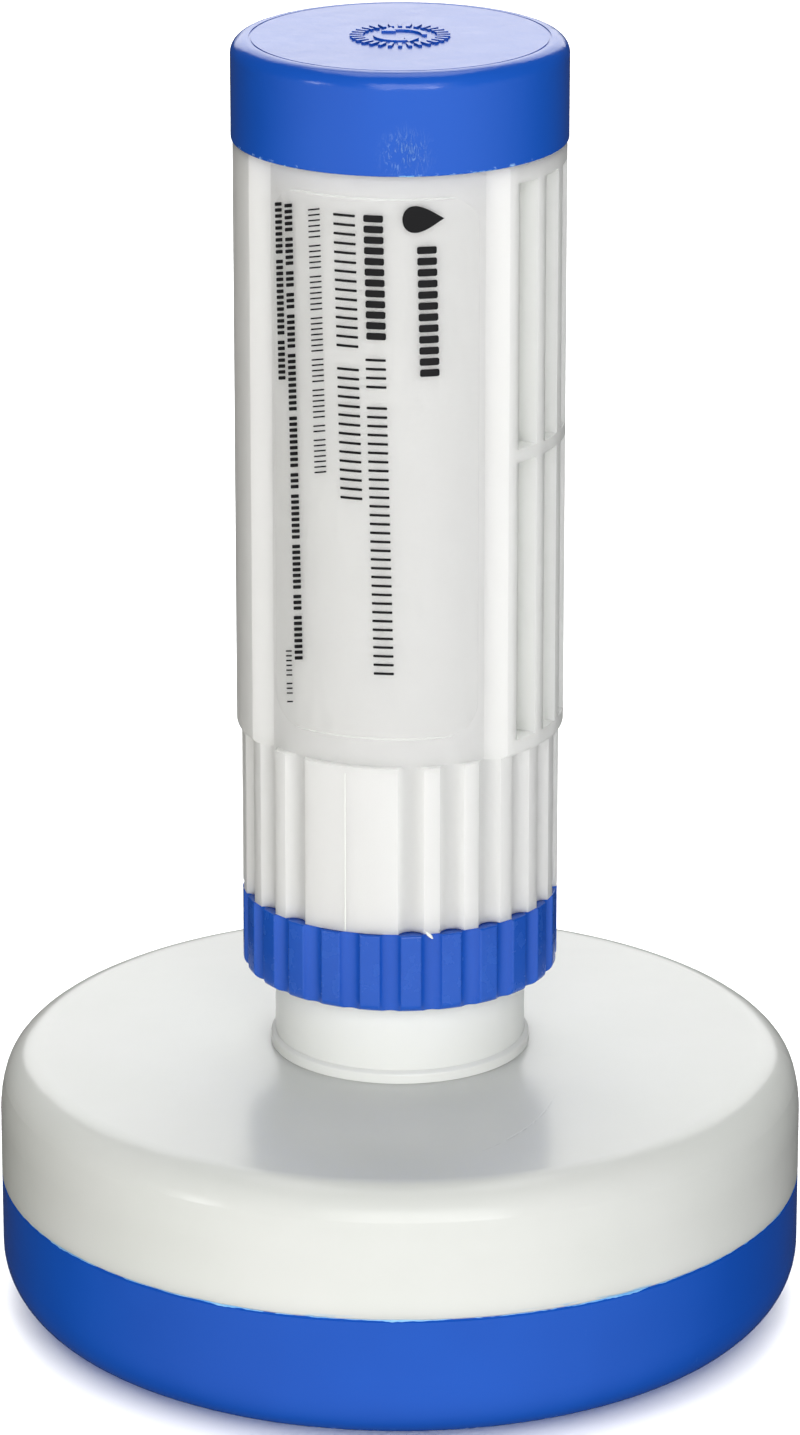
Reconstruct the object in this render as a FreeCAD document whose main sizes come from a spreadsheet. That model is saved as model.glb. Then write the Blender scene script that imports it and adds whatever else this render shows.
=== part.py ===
import FreeCAD, Part
import math
import os
import re
import Sketcher

# Floating tablet dispenser, in millimetres. +Z is up, the origin is the middle of the float's base,
# and the object stands on its float with the cap on top. Azimuths are in degrees, counted about +Z
# from -Y (the front) towards +X.

Vector = FreeCAD.Vector
Z_DIRECTION = Vector(0, 0, 1)
HAIR = 0.01  # tolerance when edges are picked by their place
FULL_TURN = 360
BACK = 180  # azimuth of the far side

DIMENSIONS = {
    # how far added and cut shapes reach past the face that they start from
    "bite": 0.5,
    "reach": 1.0,
    # float
    "float_radius": 63.5,
    "float_wall": 2.4,
    "float_corner": 10.4,
    "foot_inner_radius": 43.0,
    "foot_recess": 1.0,
    "seam_height": 21.9,
    "seam_trap": 0.3,
    "rim_width": 3.9,
    "rim_depth": 3.6,
    "rim_slope": 1.5,
    "tongue_radius": 60.9,
    "tongue_width": 1.0,
    "tongue_depth": 1.4,
    "tongue_gap": 0.1,
    "shoulder_start": 32.3,
    "shoulder_arc": 19.0,
    "shoulder_turn": 16.1,
    "crown_arc": 6.4,
    "crown_height": 42.15,
    "neck_base": 43.3,
    # socket that takes the tube
    "socket_radius": 19.95,
    "socket_wall": 2.2,
    "socket_floor": 14.0,
    "socket_floor_wall": 2.0,
    "gland_radius": 20.45,
    "gland_depth": 1.8,
    "socket_root": 0.6,
    # tube
    "neck_radius": 19.7,
    "neck_bore": 17.5,
    "tube_bottom": 16.3,
    "tube_radius": 21.3,
    "tube_bore": 19.3,
    "tube_shoulder": 69.6,
    "tube_flare_low": 70.6,
    "tube_flare_high": 73.0,
    "tube_top": 187.0,
    "rib_reach": 16.3,
    "rib_root": 19.6,
    "rib_width": 1.4,
    "rib_bottom": 20.0,
    "rib_top": 176.0,
    "rib_first": 17.0,
    "rib_count": 6,
    "slot_width": 9.0,
    "key_width": 3.0,
    "key_radius": 20.7,
    "key_bottom": 62.2,
    "key_gap": 0.15,
    "key_slot_sink": 0.7,
    "key_count": 4,
    "stop_width": 8.0,
    "stop_height": 1.7,
    "stop_inner": 20.0,
    "stop_outer": 21.2,
    "stop_azimuth": 30.0,
    "stop_gap": 1.0,
    # rings held by the tube
    "collar_height": 1.95,
    "collar_slope": 0.5,
    "collar_gap": 0.03,
    "collar_edge": 0.4,
    "stem_groove_height": 35.0,
    "stem_groove_floor": 18.2,
    "stem_groove_width": 2.0,
    "stem_ring_thickness": 1.7,
    "friction_height": 78.0,
    "friction_floor": 20.1,
    "friction_width": 1.6,
    "friction_thickness": 1.2,
    "clip_bottom": 60.2,
    "clip_thickness": 1.4,
    "clip_radius": 21.4,
    "clip_bore": 18.95,
    "clip_mouth": 50.0,
    "clip_clearance": 0.05,
    "clip_play": 0.2,
    "seat_gap": 0.02,
    # adjuster ring
    "ring_bottom": 56.7,
    "ring_top": 69.4,
    "ring_radius": 24.75,
    "ring_bore": 19.85,
    "ring_pocket_radius": 22.0,
    "ring_web": 61.8,
    "ring_edge": 1.2,
    "ring_rib_edge": 0.35,
    "ring_valley_radius": 1.9,
    "ring_valley_centre": 25.6,
    "ring_valley_first": 11.5,
    "rib_pitch": 15.0,
    "ring_rib_count": 24,
    # outer body
    "sleeve_bottom": 69.7,
    "sleeve_bore": 21.6,
    "grip_radius": 24.75,
    "grip_top": 96.6,
    "panel_radius": 25.5,
    "panel_foot_edge": 0.7,
    "valley_radius": 2.2,
    "valley_centre": 25.55,
    "valley_first": 4.0,
    "valley_count": 22,
    "recess_radius": 23.5,
    "recess_azimuth": -11.4,
    "recess_half_floor": 44.5,
    "recess_half_mouth": 54.6,
    "recess_cut_radius": 38.5,
    "recess_cut_half": 40.0,
    "shoulder_height": 189.9,
    "ledge_radius": 19.6,
    "ledge_bottom": 187.3,
    "ledge_top": 189.3,
    "mouth_top": 201.5,
    "mouth_bore": 20.8,
    "window_azimuth": 49.7,
    "window_pitch": 15.0,
    "window_columns": 3,
    "window_width": 10.0,
    "window_low_bottom": 99.2,
    "window_low_top": 143.6,
    "window_high_bottom": 145.6,
    "window_high_top": 187.1,
    # screw thread between the outer body and the cap
    "thread_root": 22.4,
    "thread_crest": 23.45,
    "thread_lead": 8.0,
    "thread_base_width": 2.0,
    "thread_tip_width": 1.0,
    "thread_bottom": 192.0,
    "thread_turn_height": 6.4,
    "cap_thread_root": 24.0,
    "cap_thread_crest": 22.85,
    "thread_bite": 0.25,
    # sleeve retainer
    "retainer_bore": 16.9,
    "retainer_radius": 20.4,
    "retainer_bottom": 189.6,
    "retainer_thickness": 1.5,
    "leg_inner": 17.7,
    "leg_outer": 19.05,
    "leg_width": 24.0,
    "leg_bottom": 178.0,
    "leg_spread": 22.0,
    "hook_radius": 20.5,
    "hook_bottom": 179.2,
    "hook_height": 1.8,
    "hook_gap": 0.3,
    "hook_inset": 2.0,
    # plug
    "plug_radius": 17.45,
    "plug_bottom": 16.4,
    "plug_height": 3.4,
    "plug_wall": 1.4,
    # label film
    "label_azimuth": -11.7,
    "label_half_width": 42.4,
    "label_bottom": 101.0,
    "label_top": 186.2,
    "label_corner": 5.0,
    "label_thickness": 0.15,
    "label_gap": 0.02,
    # cap
    "cap_radius": 25.78,
    "cap_bottom": 190.0,
    "cap_top": 205.5,
    "cap_plate": 2.0,
    "cap_edge": 2.45,
    "cap_lower_edge": 0.3,
    "line_radius": 22.65,
    "line_width": 0.3,
    "line_depth": 0.15,
    "tick_inner": 5.6,
    "tick_length": 2.0,
    "tick_width": 0.55,
    "tick_count": 30,
    "emboss_height": 0.3,
    "emboss_root": 0.2,
    "arrow_inner": 3.3,
    "arrow_outer": 4.1,
    "arrow_sweep": 105.0,
    "arrow_head": 1.0,
    "arrow_point": 35.0,
    "gasket_radius": 23.6,
    "gasket_bore": 19.0,
    "gasket_thickness": 1.8,
    "gasket_gap": 0.05,
}

document = FreeCAD.newDocument("Dispenser")
sheet = document.addObject("Spreadsheet::Sheet", "Dims")
for row, (alias, number) in enumerate(DIMENSIONS.items(), start=1):
    sheet.set(f"A{row}", alias.replace("_", " "))
    sheet.set(f"B{row}", str(number))
    sheet.setAlias(f"B{row}", alias)
document.recompute()


# ---------------------------------------------------------------- helpers: formulas and sketches

def formula(text):
    """Write a formula in plain aliases as one that reads the sheet."""
    def with_sheet(match):
        word = match.group(0)
        return f"Dims.{word}" if word in DIMENSIONS else word
    return re.sub(r"[a-z_]+", with_sheet, str(text))


def value(text):
    """The number that a formula gives."""
    return float(sheet.evalExpression(formula(text)))


def bind(target, **formulas):
    """Bind properties of a feature to formulas of the sheet's cells."""
    for name, text in formulas.items():
        target.setExpression(name, formula(text))


def new_body(label):
    body = document.addObject("PartDesign::Body", label)
    body.Label = label
    return body


def origin_part(body, role):
    return next(item for item in body.Origin.OriginFeatures if item.Role == role)


def new_sketch(body, name, role, height="0"):
    """An empty sketch on one of the body's own planes, lifted by height."""
    sketch = body.newObject("Sketcher::SketchObject", name)
    sketch.AttachmentSupport = [(origin_part(body, role), "")]
    sketch.MapMode = "FlatFace"
    sketch.setExpression("AttachmentOffset.Base.z", formula(height))
    return sketch


def outline(sketch, corners):
    """Draw one closed outline. A corner is (x, y), or (x, y, radius, centre_x, centre_y, turn) where
    the stretch to the next corner is an arc that turns "left" or "right"."""
    points = [Vector(value(corner[0]), value(corner[1]), 0) for corner in corners]
    first = len(sketch.Geometry)
    ends = []
    for index, corner in enumerate(corners):
        start = points[index]
        finish = points[(index + 1) % len(points)]
        if len(corner) == 2:
            sketch.addGeometry(Part.LineSegment(start, finish))
            ends.append((1, 2))
            continue
        centre = Vector(value(corner[3]), value(corner[4]), 0)
        left = corner[5] == "left"
        low, high = (start, finish) if left else (finish, start)
        low_angle = math.atan2(low.y - centre.y, low.x - centre.x)
        high_angle = math.atan2(high.y - centre.y, high.x - centre.x)
        if high_angle <= low_angle:
            high_angle += 2 * math.pi
        circle = Part.Circle(centre, Z_DIRECTION, value(corner[2]))
        sketch.addGeometry(Part.ArcOfCircle(circle, low_angle, high_angle))
        ends.append((1, 2) if left else (2, 1))
    for index in range(len(corners)):
        after = (index + 1) % len(corners)
        sketch.addConstraint(Sketcher.Constraint(
            "Coincident", first + index, ends[index][1], first + after, ends[after][0]))
    for index, corner in enumerate(corners):
        for kind, text in (("DistanceX", corner[0]), ("DistanceY", corner[1])):
            place = sketch.addConstraint(Sketcher.Constraint(
                kind, -1, 1, first + index, ends[index][0], value(text)))
            sketch.setExpression(f"Constraints[{place}]", formula(text))
        if len(corner) > 2:
            place = sketch.addConstraint(Sketcher.Constraint("Radius", first + index, value(corner[2])))
            sketch.setExpression(f"Constraints[{place}]", formula(corner[2]))


def revolved(body, name, corners, cut=False):
    """Turn an outline in radius and height about the body's Z axis."""
    sketch = new_sketch(body, name + "_outline", "XZ_Plane")
    outline(sketch, corners)
    kind = "PartDesign::Groove" if cut else "PartDesign::Revolution"
    feature = body.newObject(kind, name)
    feature.Profile = sketch
    feature.ReferenceAxis = (sketch, ["V_Axis"])
    feature.Angle = FULL_TURN
    document.recompute()
    return feature


def rectangle(inner, outer, low, high):
    """Corners of a rectangle in radius and height."""
    return [(inner, low), (outer, low), (outer, high), (inner, high)]


def primitive(body, kind, name, low, azimuth="0", distance="0", **sizes):
    """An additive or subtractive primitive standing at a radius and azimuth about the Z axis."""
    feature = body.newObject("PartDesign::" + kind, name)
    bind(feature, **sizes)
    feature.Placement = FreeCAD.Placement(Vector(1, 1, 1), FreeCAD.Rotation(Z_DIRECTION, 10))
    turn = f"({azimuth}) - 90"
    bind(feature, **{
        "Placement.Base.x": f"({distance}) * cos({turn})",
        "Placement.Base.y": f"({distance}) * sin({turn})",
        "Placement.Base.z": low,
        "Placement.Rotation.Angle": turn,
    })
    return feature


def sector(body, kind, name, low, high, azimuth, width, radius):
    """A pie slice from the axis out to a radius, centred on an azimuth."""
    return primitive(body, kind, name, low, azimuth=f"({azimuth}) - ({width}) / 2",
                     Radius=radius, Height=f"({high}) - ({low})", Angle=width)


def around(body, feature, name, count, angle=FULL_TURN):
    """Repeat a feature about the Z axis; angle is the turn from the first copy to the last."""
    pattern = body.newObject("PartDesign::PolarPattern", name)
    pattern.Originals = [feature]
    pattern.Axis = (origin_part(body, "Z_Axis"), [""])
    bind(pattern, Angle=angle, Occurrences=count)
    body.Tip = pattern
    document.recompute()
    return pattern


def edges_where(shape, test):
    """Names of the edges whose points all pass a test of radius and height."""
    names = []
    for number, edge in enumerate(shape.Edges, start=1):
        samples = edge.discretize(4)
        if all(test(math.hypot(point.x, point.y), point.z) for point in samples):
            names.append(f"Edge{number}")
    return names


def rounded(body, name, radius, test):
    """Fillet the edges that pass a test of radius and height."""
    document.recompute()
    base = body.Tip
    fillet = body.newObject("PartDesign::Fillet", name)
    fillet.Base = (base, edges_where(base.Shape, test))
    bind(fillet, Radius=radius)
    document.recompute()
    return fillet


def at(radius, height):
    """Test for edges on one circle."""
    def test(edge_radius, edge_height):
        near_radius = abs(edge_radius - value(radius)) < HAIR
        return near_radius and abs(edge_height - value(height)) < HAIR
    return test


def upright(radius, low, high):
    """Test for straight edges on one cylinder, between two heights."""
    def test(edge_radius, edge_height):
        near_radius = abs(edge_radius - value(radius)) < HAIR
        return near_radius and value(low) - HAIR < edge_height < value(high) + HAIR
    return test


# ---------------------------------------------------------------- float

def make_float_lower_shell():
    """Blue bowl with a flat foot, a large rounded edge and a grooved rim for the weld. The rim's outer
    edge is bevelled, so that the two shells meet in a fine V all round."""
    body = new_body("float_lower_shell")
    corner = "float_corner"
    inner_corner = "(float_corner - float_wall)"
    revolved(body, "bowl", [
        ("0", "foot_recess"),
        ("foot_inner_radius", "foot_recess"),
        ("foot_inner_radius + foot_recess", "0"),
        (f"float_radius - {corner}", "0", corner, f"float_radius - {corner}", corner, "left"),
        ("float_radius", corner),
        ("float_radius", "seam_height - seam_trap"),
        ("float_radius - seam_trap", "seam_height"),
        ("tongue_radius + tongue_width + tongue_gap", "seam_height"),
        ("tongue_radius + tongue_width + tongue_gap", "seam_height - tongue_depth - tongue_gap"),
        ("tongue_radius - tongue_gap", "seam_height - tongue_depth - tongue_gap"),
        ("tongue_radius - tongue_gap", "seam_height"),
        ("float_radius - rim_width", "seam_height"),
        ("float_radius - rim_width", "seam_height - rim_depth"),
        ("float_radius - float_wall", "seam_height - rim_depth - rim_slope"),
        ("float_radius - float_wall", corner, inner_corner,
         f"float_radius - {corner}", corner, "right"),
        (f"float_radius - {corner}", "float_wall"),
        ("foot_inner_radius + foot_recess", "float_wall"),
        ("foot_inner_radius", "float_wall + foot_recess"),
        ("0", "float_wall + foot_recess"),
    ])
    return body


def shoulder_corners(inset, inwards):
    """The float's shoulder, inset from its outer face: a slow arc, a tight arc and a flat crown."""
    slow = f"(shoulder_arc - {inset})"
    tight = f"(crown_arc - {inset})"
    slow_x = "(float_radius - shoulder_arc)"
    tight_x = f"({slow_x} + (shoulder_arc - crown_arc) * cos(shoulder_turn))"
    tight_z = "(shoulder_start + (shoulder_arc - crown_arc) * sin(shoulder_turn))"
    bottom = (f"float_radius - {inset}", "shoulder_start")
    middle = (f"{tight_x} + {tight} * cos(shoulder_turn)",
              f"{tight_z} + {tight} * sin(shoulder_turn)")
    top = (tight_x, f"{tight_z} + {tight}")
    slow_bend = (slow, slow_x, "shoulder_start")
    tight_bend = (tight, tight_x, tight_z)
    if inwards:
        return [bottom + slow_bend + ("left",), middle + tight_bend + ("left",), top]
    return [top + tight_bend + ("right",), middle + slow_bend + ("right",), bottom]


def make_float_upper_shell():
    """White dome with a weld tongue round its rim and a closed socket in the middle."""
    body = new_body("float_upper_shell")
    outside = shoulder_corners("0", True)
    inside = shoulder_corners("float_wall", False)
    socket_outside = "socket_radius + socket_wall"
    revolved(body, "dome", [
        ("0", "socket_floor"),
        (socket_outside, "socket_floor"),
        (socket_outside, "neck_base - float_wall - socket_root"),
    ] + inside + [
        ("float_radius - float_wall", "seam_height + rim_depth + rim_slope"),
        ("float_radius - rim_width", "seam_height + rim_depth"),
        ("float_radius - rim_width", "seam_height"),
        ("tongue_radius", "seam_height"),
        ("tongue_radius", "seam_height - tongue_depth"),
        ("tongue_radius + tongue_width", "seam_height - tongue_depth"),
        ("tongue_radius + tongue_width", "seam_height"),
        ("float_radius - seam_trap", "seam_height"),
        ("float_radius", "seam_height + seam_trap"),
    ] + outside + [
        ("gland_radius", "neck_base"),
        ("gland_radius", "neck_base - gland_depth"),
        ("socket_radius", "neck_base - gland_depth"),
        ("socket_radius", "socket_floor + socket_floor_wall"),
        ("0", "socket_floor + socket_floor_wall"),
    ])
    return body


def make_stem_collar():
    """Ring pressed into the top of the socket; its lip stands out and falls away from the neck."""
    body = new_body("stem_collar")
    seat = "neck_base - gland_depth"
    rim = "gland_radius - collar_gap"
    rim_top = "neck_base + collar_height - collar_slope"
    revolved(body, "lip", [
        ("neck_radius + collar_gap", seat),
        (rim, seat),
        (rim, rim_top),
        ("neck_radius + collar_gap", "neck_base + collar_height"),
    ])
    rounded(body, "lip_edge", "collar_edge", at(rim, rim_top))
    return body


def make_round_ring(label, centre_radius, centre_height, thickness):
    """A ring of round section lying flat about the axis."""
    ring = document.addObject("Part::Torus", label)
    ring.Label = label
    bind(ring, Radius1=centre_radius, Radius2=f"({thickness}) / 2")
    ring.Placement = FreeCAD.Placement(Vector(0, 0, 1), FreeCAD.Rotation())
    bind(ring, **{"Placement.Base.z": centre_height})
    return ring


def make_stem_o_ring():
    centre = "stem_groove_floor + stem_ring_thickness / 2 + seat_gap"
    return make_round_ring("stem_o_ring", centre, "stem_groove_height", "stem_ring_thickness")


def make_friction_ring():
    centre = "friction_floor + friction_thickness / 2 + seat_gap"
    return make_round_ring("friction_ring", centre, "friction_height", "friction_thickness")


# ---------------------------------------------------------------- tube and what it carries

# azimuths of the four snap-in legs: a pair at the front and a pair at the back
LEG_PLACES = {
    "front_left": "-leg_spread",
    "front_right": "leg_spread",
    "back_left": "180 - leg_spread",
    "back_right": "180 + leg_spread",
}


def cut_groove(body, name, floor, rim, middle, width):
    """A square groove round the outside, from its floor to beyond the rim."""
    revolved(body, name, rectangle(
        floor, f"{rim} + reach", f"{middle} - ({width}) / 2", f"{middle} + ({width}) / 2"), cut=True)


WINDOW_ROWS = (
    ("low", "window_low_bottom", "window_low_top"),
    ("high", "window_high_bottom", "window_high_top"),
)


def cut_window_columns(body, first, width, radius):
    """Cut the columns of windows on one side, and as many on the far side. Each cut is a slice from
    the axis outwards; the bore is already empty, so only the wall opens."""
    for side in (0, BACK):
        for column in range(int(value("window_columns"))):
            azimuth = f"{first} + {column} * window_pitch + {side}"
            for row_name, low, high in WINDOW_ROWS:
                sector(body, "SubtractiveCylinder", f"window_{side}_{column}_{row_name}",
                       low, high, azimuth, width, radius)


def make_tablet_tube():
    """Inner tube: narrow neck below, wide shutter with slots above, centring ribs inside."""
    body = new_body("tablet_tube")
    revolved(body, "tube", [
        ("neck_bore", "tube_bottom"),
        ("neck_radius", "tube_bottom"),
        ("neck_radius", "tube_shoulder"),
        ("tube_radius", "tube_shoulder"),
        ("tube_radius", "tube_top"),
        ("tube_bore", "tube_top"),
        ("tube_bore", "tube_flare_high"),
        ("neck_bore", "tube_flare_low"),
    ])
    for side in (0, BACK):
        sector(body, "AdditiveCylinder", f"stop_{side}", "tube_top - bite", "tube_top + stop_height",
               f"stop_azimuth + {side}", "stop_width", "stop_outer")
    clear_stop_cores(body)
    rib = primitive(body, "AdditiveBox", "rib", "rib_bottom", azimuth="rib_first",
                    Length="rib_root - rib_reach", Width="rib_width",
                    Height="rib_top - rib_bottom")
    centre_box(rib, "rib_reach", "rib_first", "rib_width")
    around(body, rib, "ribs", "rib_count")
    key = primitive(body, "AdditiveBox", "key", "key_bottom", Width="key_width",
                    Length="key_radius - neck_radius + bite",
                    Height="tube_shoulder - key_bottom + bite")
    centre_box(key, "neck_radius - bite", "0", "key_width")
    around(body, key, "keys", "key_count")
    cut_groove(body, "stem_groove", "stem_groove_floor", "neck_radius",
               "stem_groove_height", "stem_groove_width")
    cut_groove(body, "friction_groove", "friction_floor", "tube_radius",
               "friction_height", "friction_width")
    cut_groove(body, "clip_groove", "clip_bore - clip_clearance", "neck_radius",
               "clip_bottom + clip_thickness / 2", "clip_thickness + clip_play")
    closed_turn = "window_azimuth + window_columns * window_pitch"
    cut_window_columns(body, closed_turn, "slot_width", "tube_radius + reach")
    for name, azimuth in LEG_PLACES.items():
        sector(body, "SubtractiveCylinder", f"snap_slot_{name}", "hook_bottom - hook_gap",
               "hook_bottom + hook_height + hook_gap", azimuth,
               "leg_width + hook_inset", "tube_radius + reach")
    return body


def clear_stop_cores(body):
    """The stop lugs start as whole slices; clear them, and the bore below, back to the wall."""
    primitive(body, "SubtractiveCylinder", "stop_core", "tube_top",
              Radius="stop_inner", Height="stop_height + reach", Angle=FULL_TURN)
    primitive(body, "SubtractiveCylinder", "bore_core", "tube_top - reach",
              Radius="tube_bore", Height="reach", Angle=FULL_TURN)


def centre_box(box, distance, azimuth, width):
    """Stand a box's inner face at a radius, centred across its azimuth."""
    turn = f"({azimuth}) - 90"
    bind(box, **{
        "Placement.Base.x": f"({distance}) * cos({turn}) + ({width}) / 2 * sin({turn})",
        "Placement.Base.y": f"({distance}) * sin({turn}) - ({width}) / 2 * cos({turn})",
    })


def make_tube_end_plug():
    """Shallow cup that closes the tube's lower end."""
    body = new_body("tube_end_plug")
    top = "plug_bottom + plug_height"
    revolved(body, "cup", [
        ("0", f"{top} - plug_wall"),
        ("plug_radius - plug_wall", f"{top} - plug_wall"),
        ("plug_radius - plug_wall", "plug_bottom"),
        ("plug_radius", "plug_bottom"),
        ("plug_radius", top),
        ("0", top),
    ])
    return body


def make_ring_clip():
    """Circlip with an open mouth, sprung into the neck's groove under the adjuster ring."""
    body = new_body("ring_clip")
    revolved(body, "hoop", rectangle(
        "clip_bore", "clip_radius", "clip_bottom", "clip_bottom + clip_thickness"))
    sector(body, "SubtractiveCylinder", "mouth", "clip_bottom - reach",
           "clip_bottom + clip_thickness + reach", BACK, "clip_mouth", "clip_radius + reach")
    return body


def make_adjuster_ring():
    """Blue ribbed ring, keyed to the neck and hollow underneath."""
    body = new_body("adjuster_ring")
    revolved(body, "hoop", [
        ("ring_bore", "ring_web"),
        ("ring_pocket_radius", "ring_web"),
        ("ring_pocket_radius", "ring_bottom"),
        ("ring_radius", "ring_bottom"),
        ("ring_radius", "ring_top"),
        ("ring_bore", "ring_top"),
    ])
    slot = primitive(body, "SubtractiveBox", "key_slot", "key_bottom - reach",
                     Length="key_radius - neck_radius + key_slot_sink + key_gap",
                     Width="key_width + 2 * key_gap", Height="ring_top - key_bottom + 2 * reach")
    centre_box(slot, "neck_radius - key_slot_sink", "0", "key_width + 2 * key_gap")
    around(body, slot, "key_slots", "key_count")
    rounded(body, "lower_edge", "ring_edge", at("ring_radius", "ring_bottom"))
    valley = primitive(body, "SubtractiveCylinder", "valley", "ring_bottom - reach",
                       azimuth="ring_valley_first", distance="ring_valley_centre",
                       Radius="ring_valley_radius", Height="ring_top - ring_bottom + 2 * reach",
                       Angle=FULL_TURN)
    around(body, valley, "valleys", "ring_rib_count")
    rounded(body, "rib_edges", "ring_rib_edge", upright(
        "ring_radius", "ring_bottom + ring_edge", "ring_top"))
    return body


# ---------------------------------------------------------------- outer body and its thread

def thread(body, name, root, crest, base_height, inwards):
    """Two-start trapezoid thread; the outline sinks a little into the wall that carries it."""
    sunk = f"{root} + thread_bite" if inwards else f"{root} - thread_bite"
    sketch = new_sketch(body, name + "_tooth", "XZ_Plane")
    outline(sketch, [
        (sunk, f"{base_height} - thread_base_width / 2"),
        (crest, f"{base_height} - thread_tip_width / 2"),
        (crest, f"{base_height} + thread_tip_width / 2"),
        (sunk, f"{base_height} + thread_base_width / 2"),
    ])
    helix = body.newObject("PartDesign::AdditiveHelix", name)
    helix.Profile = sketch
    helix.ReferenceAxis = (sketch, ["V_Axis"])
    helix.Mode = 0
    bind(helix, Pitch="thread_lead", Height="thread_turn_height")
    document.recompute()
    return around(body, helix, name + "_starts", "2")


def cut_recess(body, azimuth_shift):
    """Cut one label recess: a curved floor and two slanted walls, open at the top."""
    name = f"recess_{azimuth_shift}"
    sketch = new_sketch(body, name + "_outline", "XY_Plane", "grip_top")
    middle = f"recess_azimuth + {azimuth_shift} - 90"

    def polar(radius, turn):
        return (f"{radius} * cos({middle} + {turn})", f"{radius} * sin({middle} + {turn})")

    outline(sketch, [
        polar("(panel_radius + reach)", "-recess_half_mouth"),
        polar("recess_cut_radius", "-recess_cut_half"),
        polar("recess_cut_radius", "recess_cut_half"),
        polar("(panel_radius + reach)", "recess_half_mouth"),
        polar("recess_radius", "recess_half_floor") + ("recess_radius", "0", "0", "right"),
        polar("recess_radius", "-recess_half_floor"),
    ])
    pocket = body.newObject("PartDesign::Pocket", name)
    pocket.Profile = sketch
    pocket.Reversed = True
    bind(pocket, Length="shoulder_height - grip_top + reach")
    document.recompute()
    return pocket


def make_outer_body():
    """White sleeve: fluted grip, two shallow recesses, windows in two groups and a threaded mouth."""
    body = new_body("outer_body")
    revolved(body, "sleeve", [
        ("sleeve_bore", "sleeve_bottom"),
        ("grip_radius", "sleeve_bottom"),
        ("grip_radius", "grip_top"),
        ("panel_radius", "grip_top"),
        ("panel_radius", "shoulder_height"),
        ("thread_root", "shoulder_height"),
        ("thread_root", "mouth_top"),
        ("mouth_bore", "mouth_top"),
        ("mouth_bore", "ledge_top"),
        ("ledge_radius", "ledge_top"),
        ("ledge_radius", "ledge_bottom"),
        ("sleeve_bore", "ledge_bottom"),
    ])
    for side in (0, BACK):
        cut_recess(body, side)
    rounded(body, "panel_feet", "panel_foot_edge", at("panel_radius", "grip_top"))
    valley = primitive(body, "SubtractiveCylinder", "valley", "sleeve_bottom - reach",
                       azimuth="valley_first", distance="valley_centre", Radius="valley_radius",
                       Height="grip_top - sleeve_bottom + reach", Angle=FULL_TURN)
    around(body, valley, "valleys", "valley_count", "(valley_count - 1) * rib_pitch")
    cut_window_columns(body, "window_azimuth", "window_width", "panel_radius + reach")
    sweep = "(window_columns * window_pitch)"
    for side in (0, BACK):
        sector(body, "SubtractiveCylinder", f"stop_path_{side}", "ledge_bottom - bite",
               "ledge_top", f"stop_azimuth - {sweep} / 2 + {side}",
               f"{sweep} + stop_width + 2 * stop_gap", "sleeve_bore")
    thread(body, "screw", "thread_root", "thread_crest", "thread_bottom", False)
    return body


def make_sleeve_retainer():
    """Flanged ring over the sleeve's ledge, with four hooked legs that snap into the tube."""
    body = new_body("sleeve_retainer")
    flange_top = "retainer_bottom + retainer_thickness"
    for name, azimuth in LEG_PLACES.items():
        sector(body, "AdditiveCylinder", f"leg_{name}", "leg_bottom", "retainer_bottom + bite",
               azimuth, "leg_width", "leg_outer")
        sector(body, "AdditiveCylinder", f"hook_{name}", "hook_bottom",
               "hook_bottom + hook_height", azimuth, "leg_width - hook_inset", "hook_radius")
    primitive(body, "SubtractiveCylinder", "legs_core", "leg_bottom - reach", Radius="leg_inner",
              Height="retainer_bottom - leg_bottom + 2 * reach", Angle=FULL_TURN)
    revolved(body, "flange", rectangle(
        "retainer_bore", "retainer_radius", "retainer_bottom", flange_top))
    return body


def make_label_film():
    """Thin curved film with rounded corners, lying in the front recess: a tube section cut to the
    outline of a card that stands in front of it."""
    inner = "(recess_radius + label_gap)"
    outer = f"({inner} + label_thickness)"
    shell = document.addObject("Part::Cut", "label_shell")
    for name, radius in (("label_outside", outer), ("label_inside", inner)):
        cylinder = document.addObject("Part::Cylinder", name)
        bind(cylinder, Radius=radius, Height="label_top - label_bottom")
        bind(cylinder, **{"Placement.Base.z": "label_bottom"})
    shell.Base = document.getObject("label_outside")
    shell.Tool = document.getObject("label_inside")
    card = document.addObject("Part::Box", "label_card")
    width = "(2 * recess_radius * sin(label_half_width))"
    depth = "(recess_radius + reach)"
    bind(card, Length=width, Width=depth, Height="label_top - label_bottom")
    turn = "label_azimuth"
    card.Placement = FreeCAD.Placement(Vector(1, 1, 1), FreeCAD.Rotation(Z_DIRECTION, 10))
    bind(card, **{
        "Placement.Base.x": f"-{width} / 2 * cos({turn}) + {depth} * sin({turn})",
        "Placement.Base.y": f"-{width} / 2 * sin({turn}) - {depth} * cos({turn})",
        "Placement.Base.z": "label_bottom",
        "Placement.Rotation.Angle": turn,
    })
    document.recompute()
    corners = [number for number, edge in enumerate(card.Shape.Edges, start=1)
               if abs(edge.Length - value(depth)) < HAIR]
    soft_card = document.addObject("Part::Fillet", "label_soft_card")
    soft_card.Base = card
    radius = value("label_corner")
    soft_card.Edges = [(number, radius, radius) for number in corners]
    film = document.addObject("Part::Common", "label_film")
    film.Label = "label_film"
    film.Base = shell
    film.Tool = soft_card
    document.recompute()
    return film


# ---------------------------------------------------------------- cap

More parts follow.
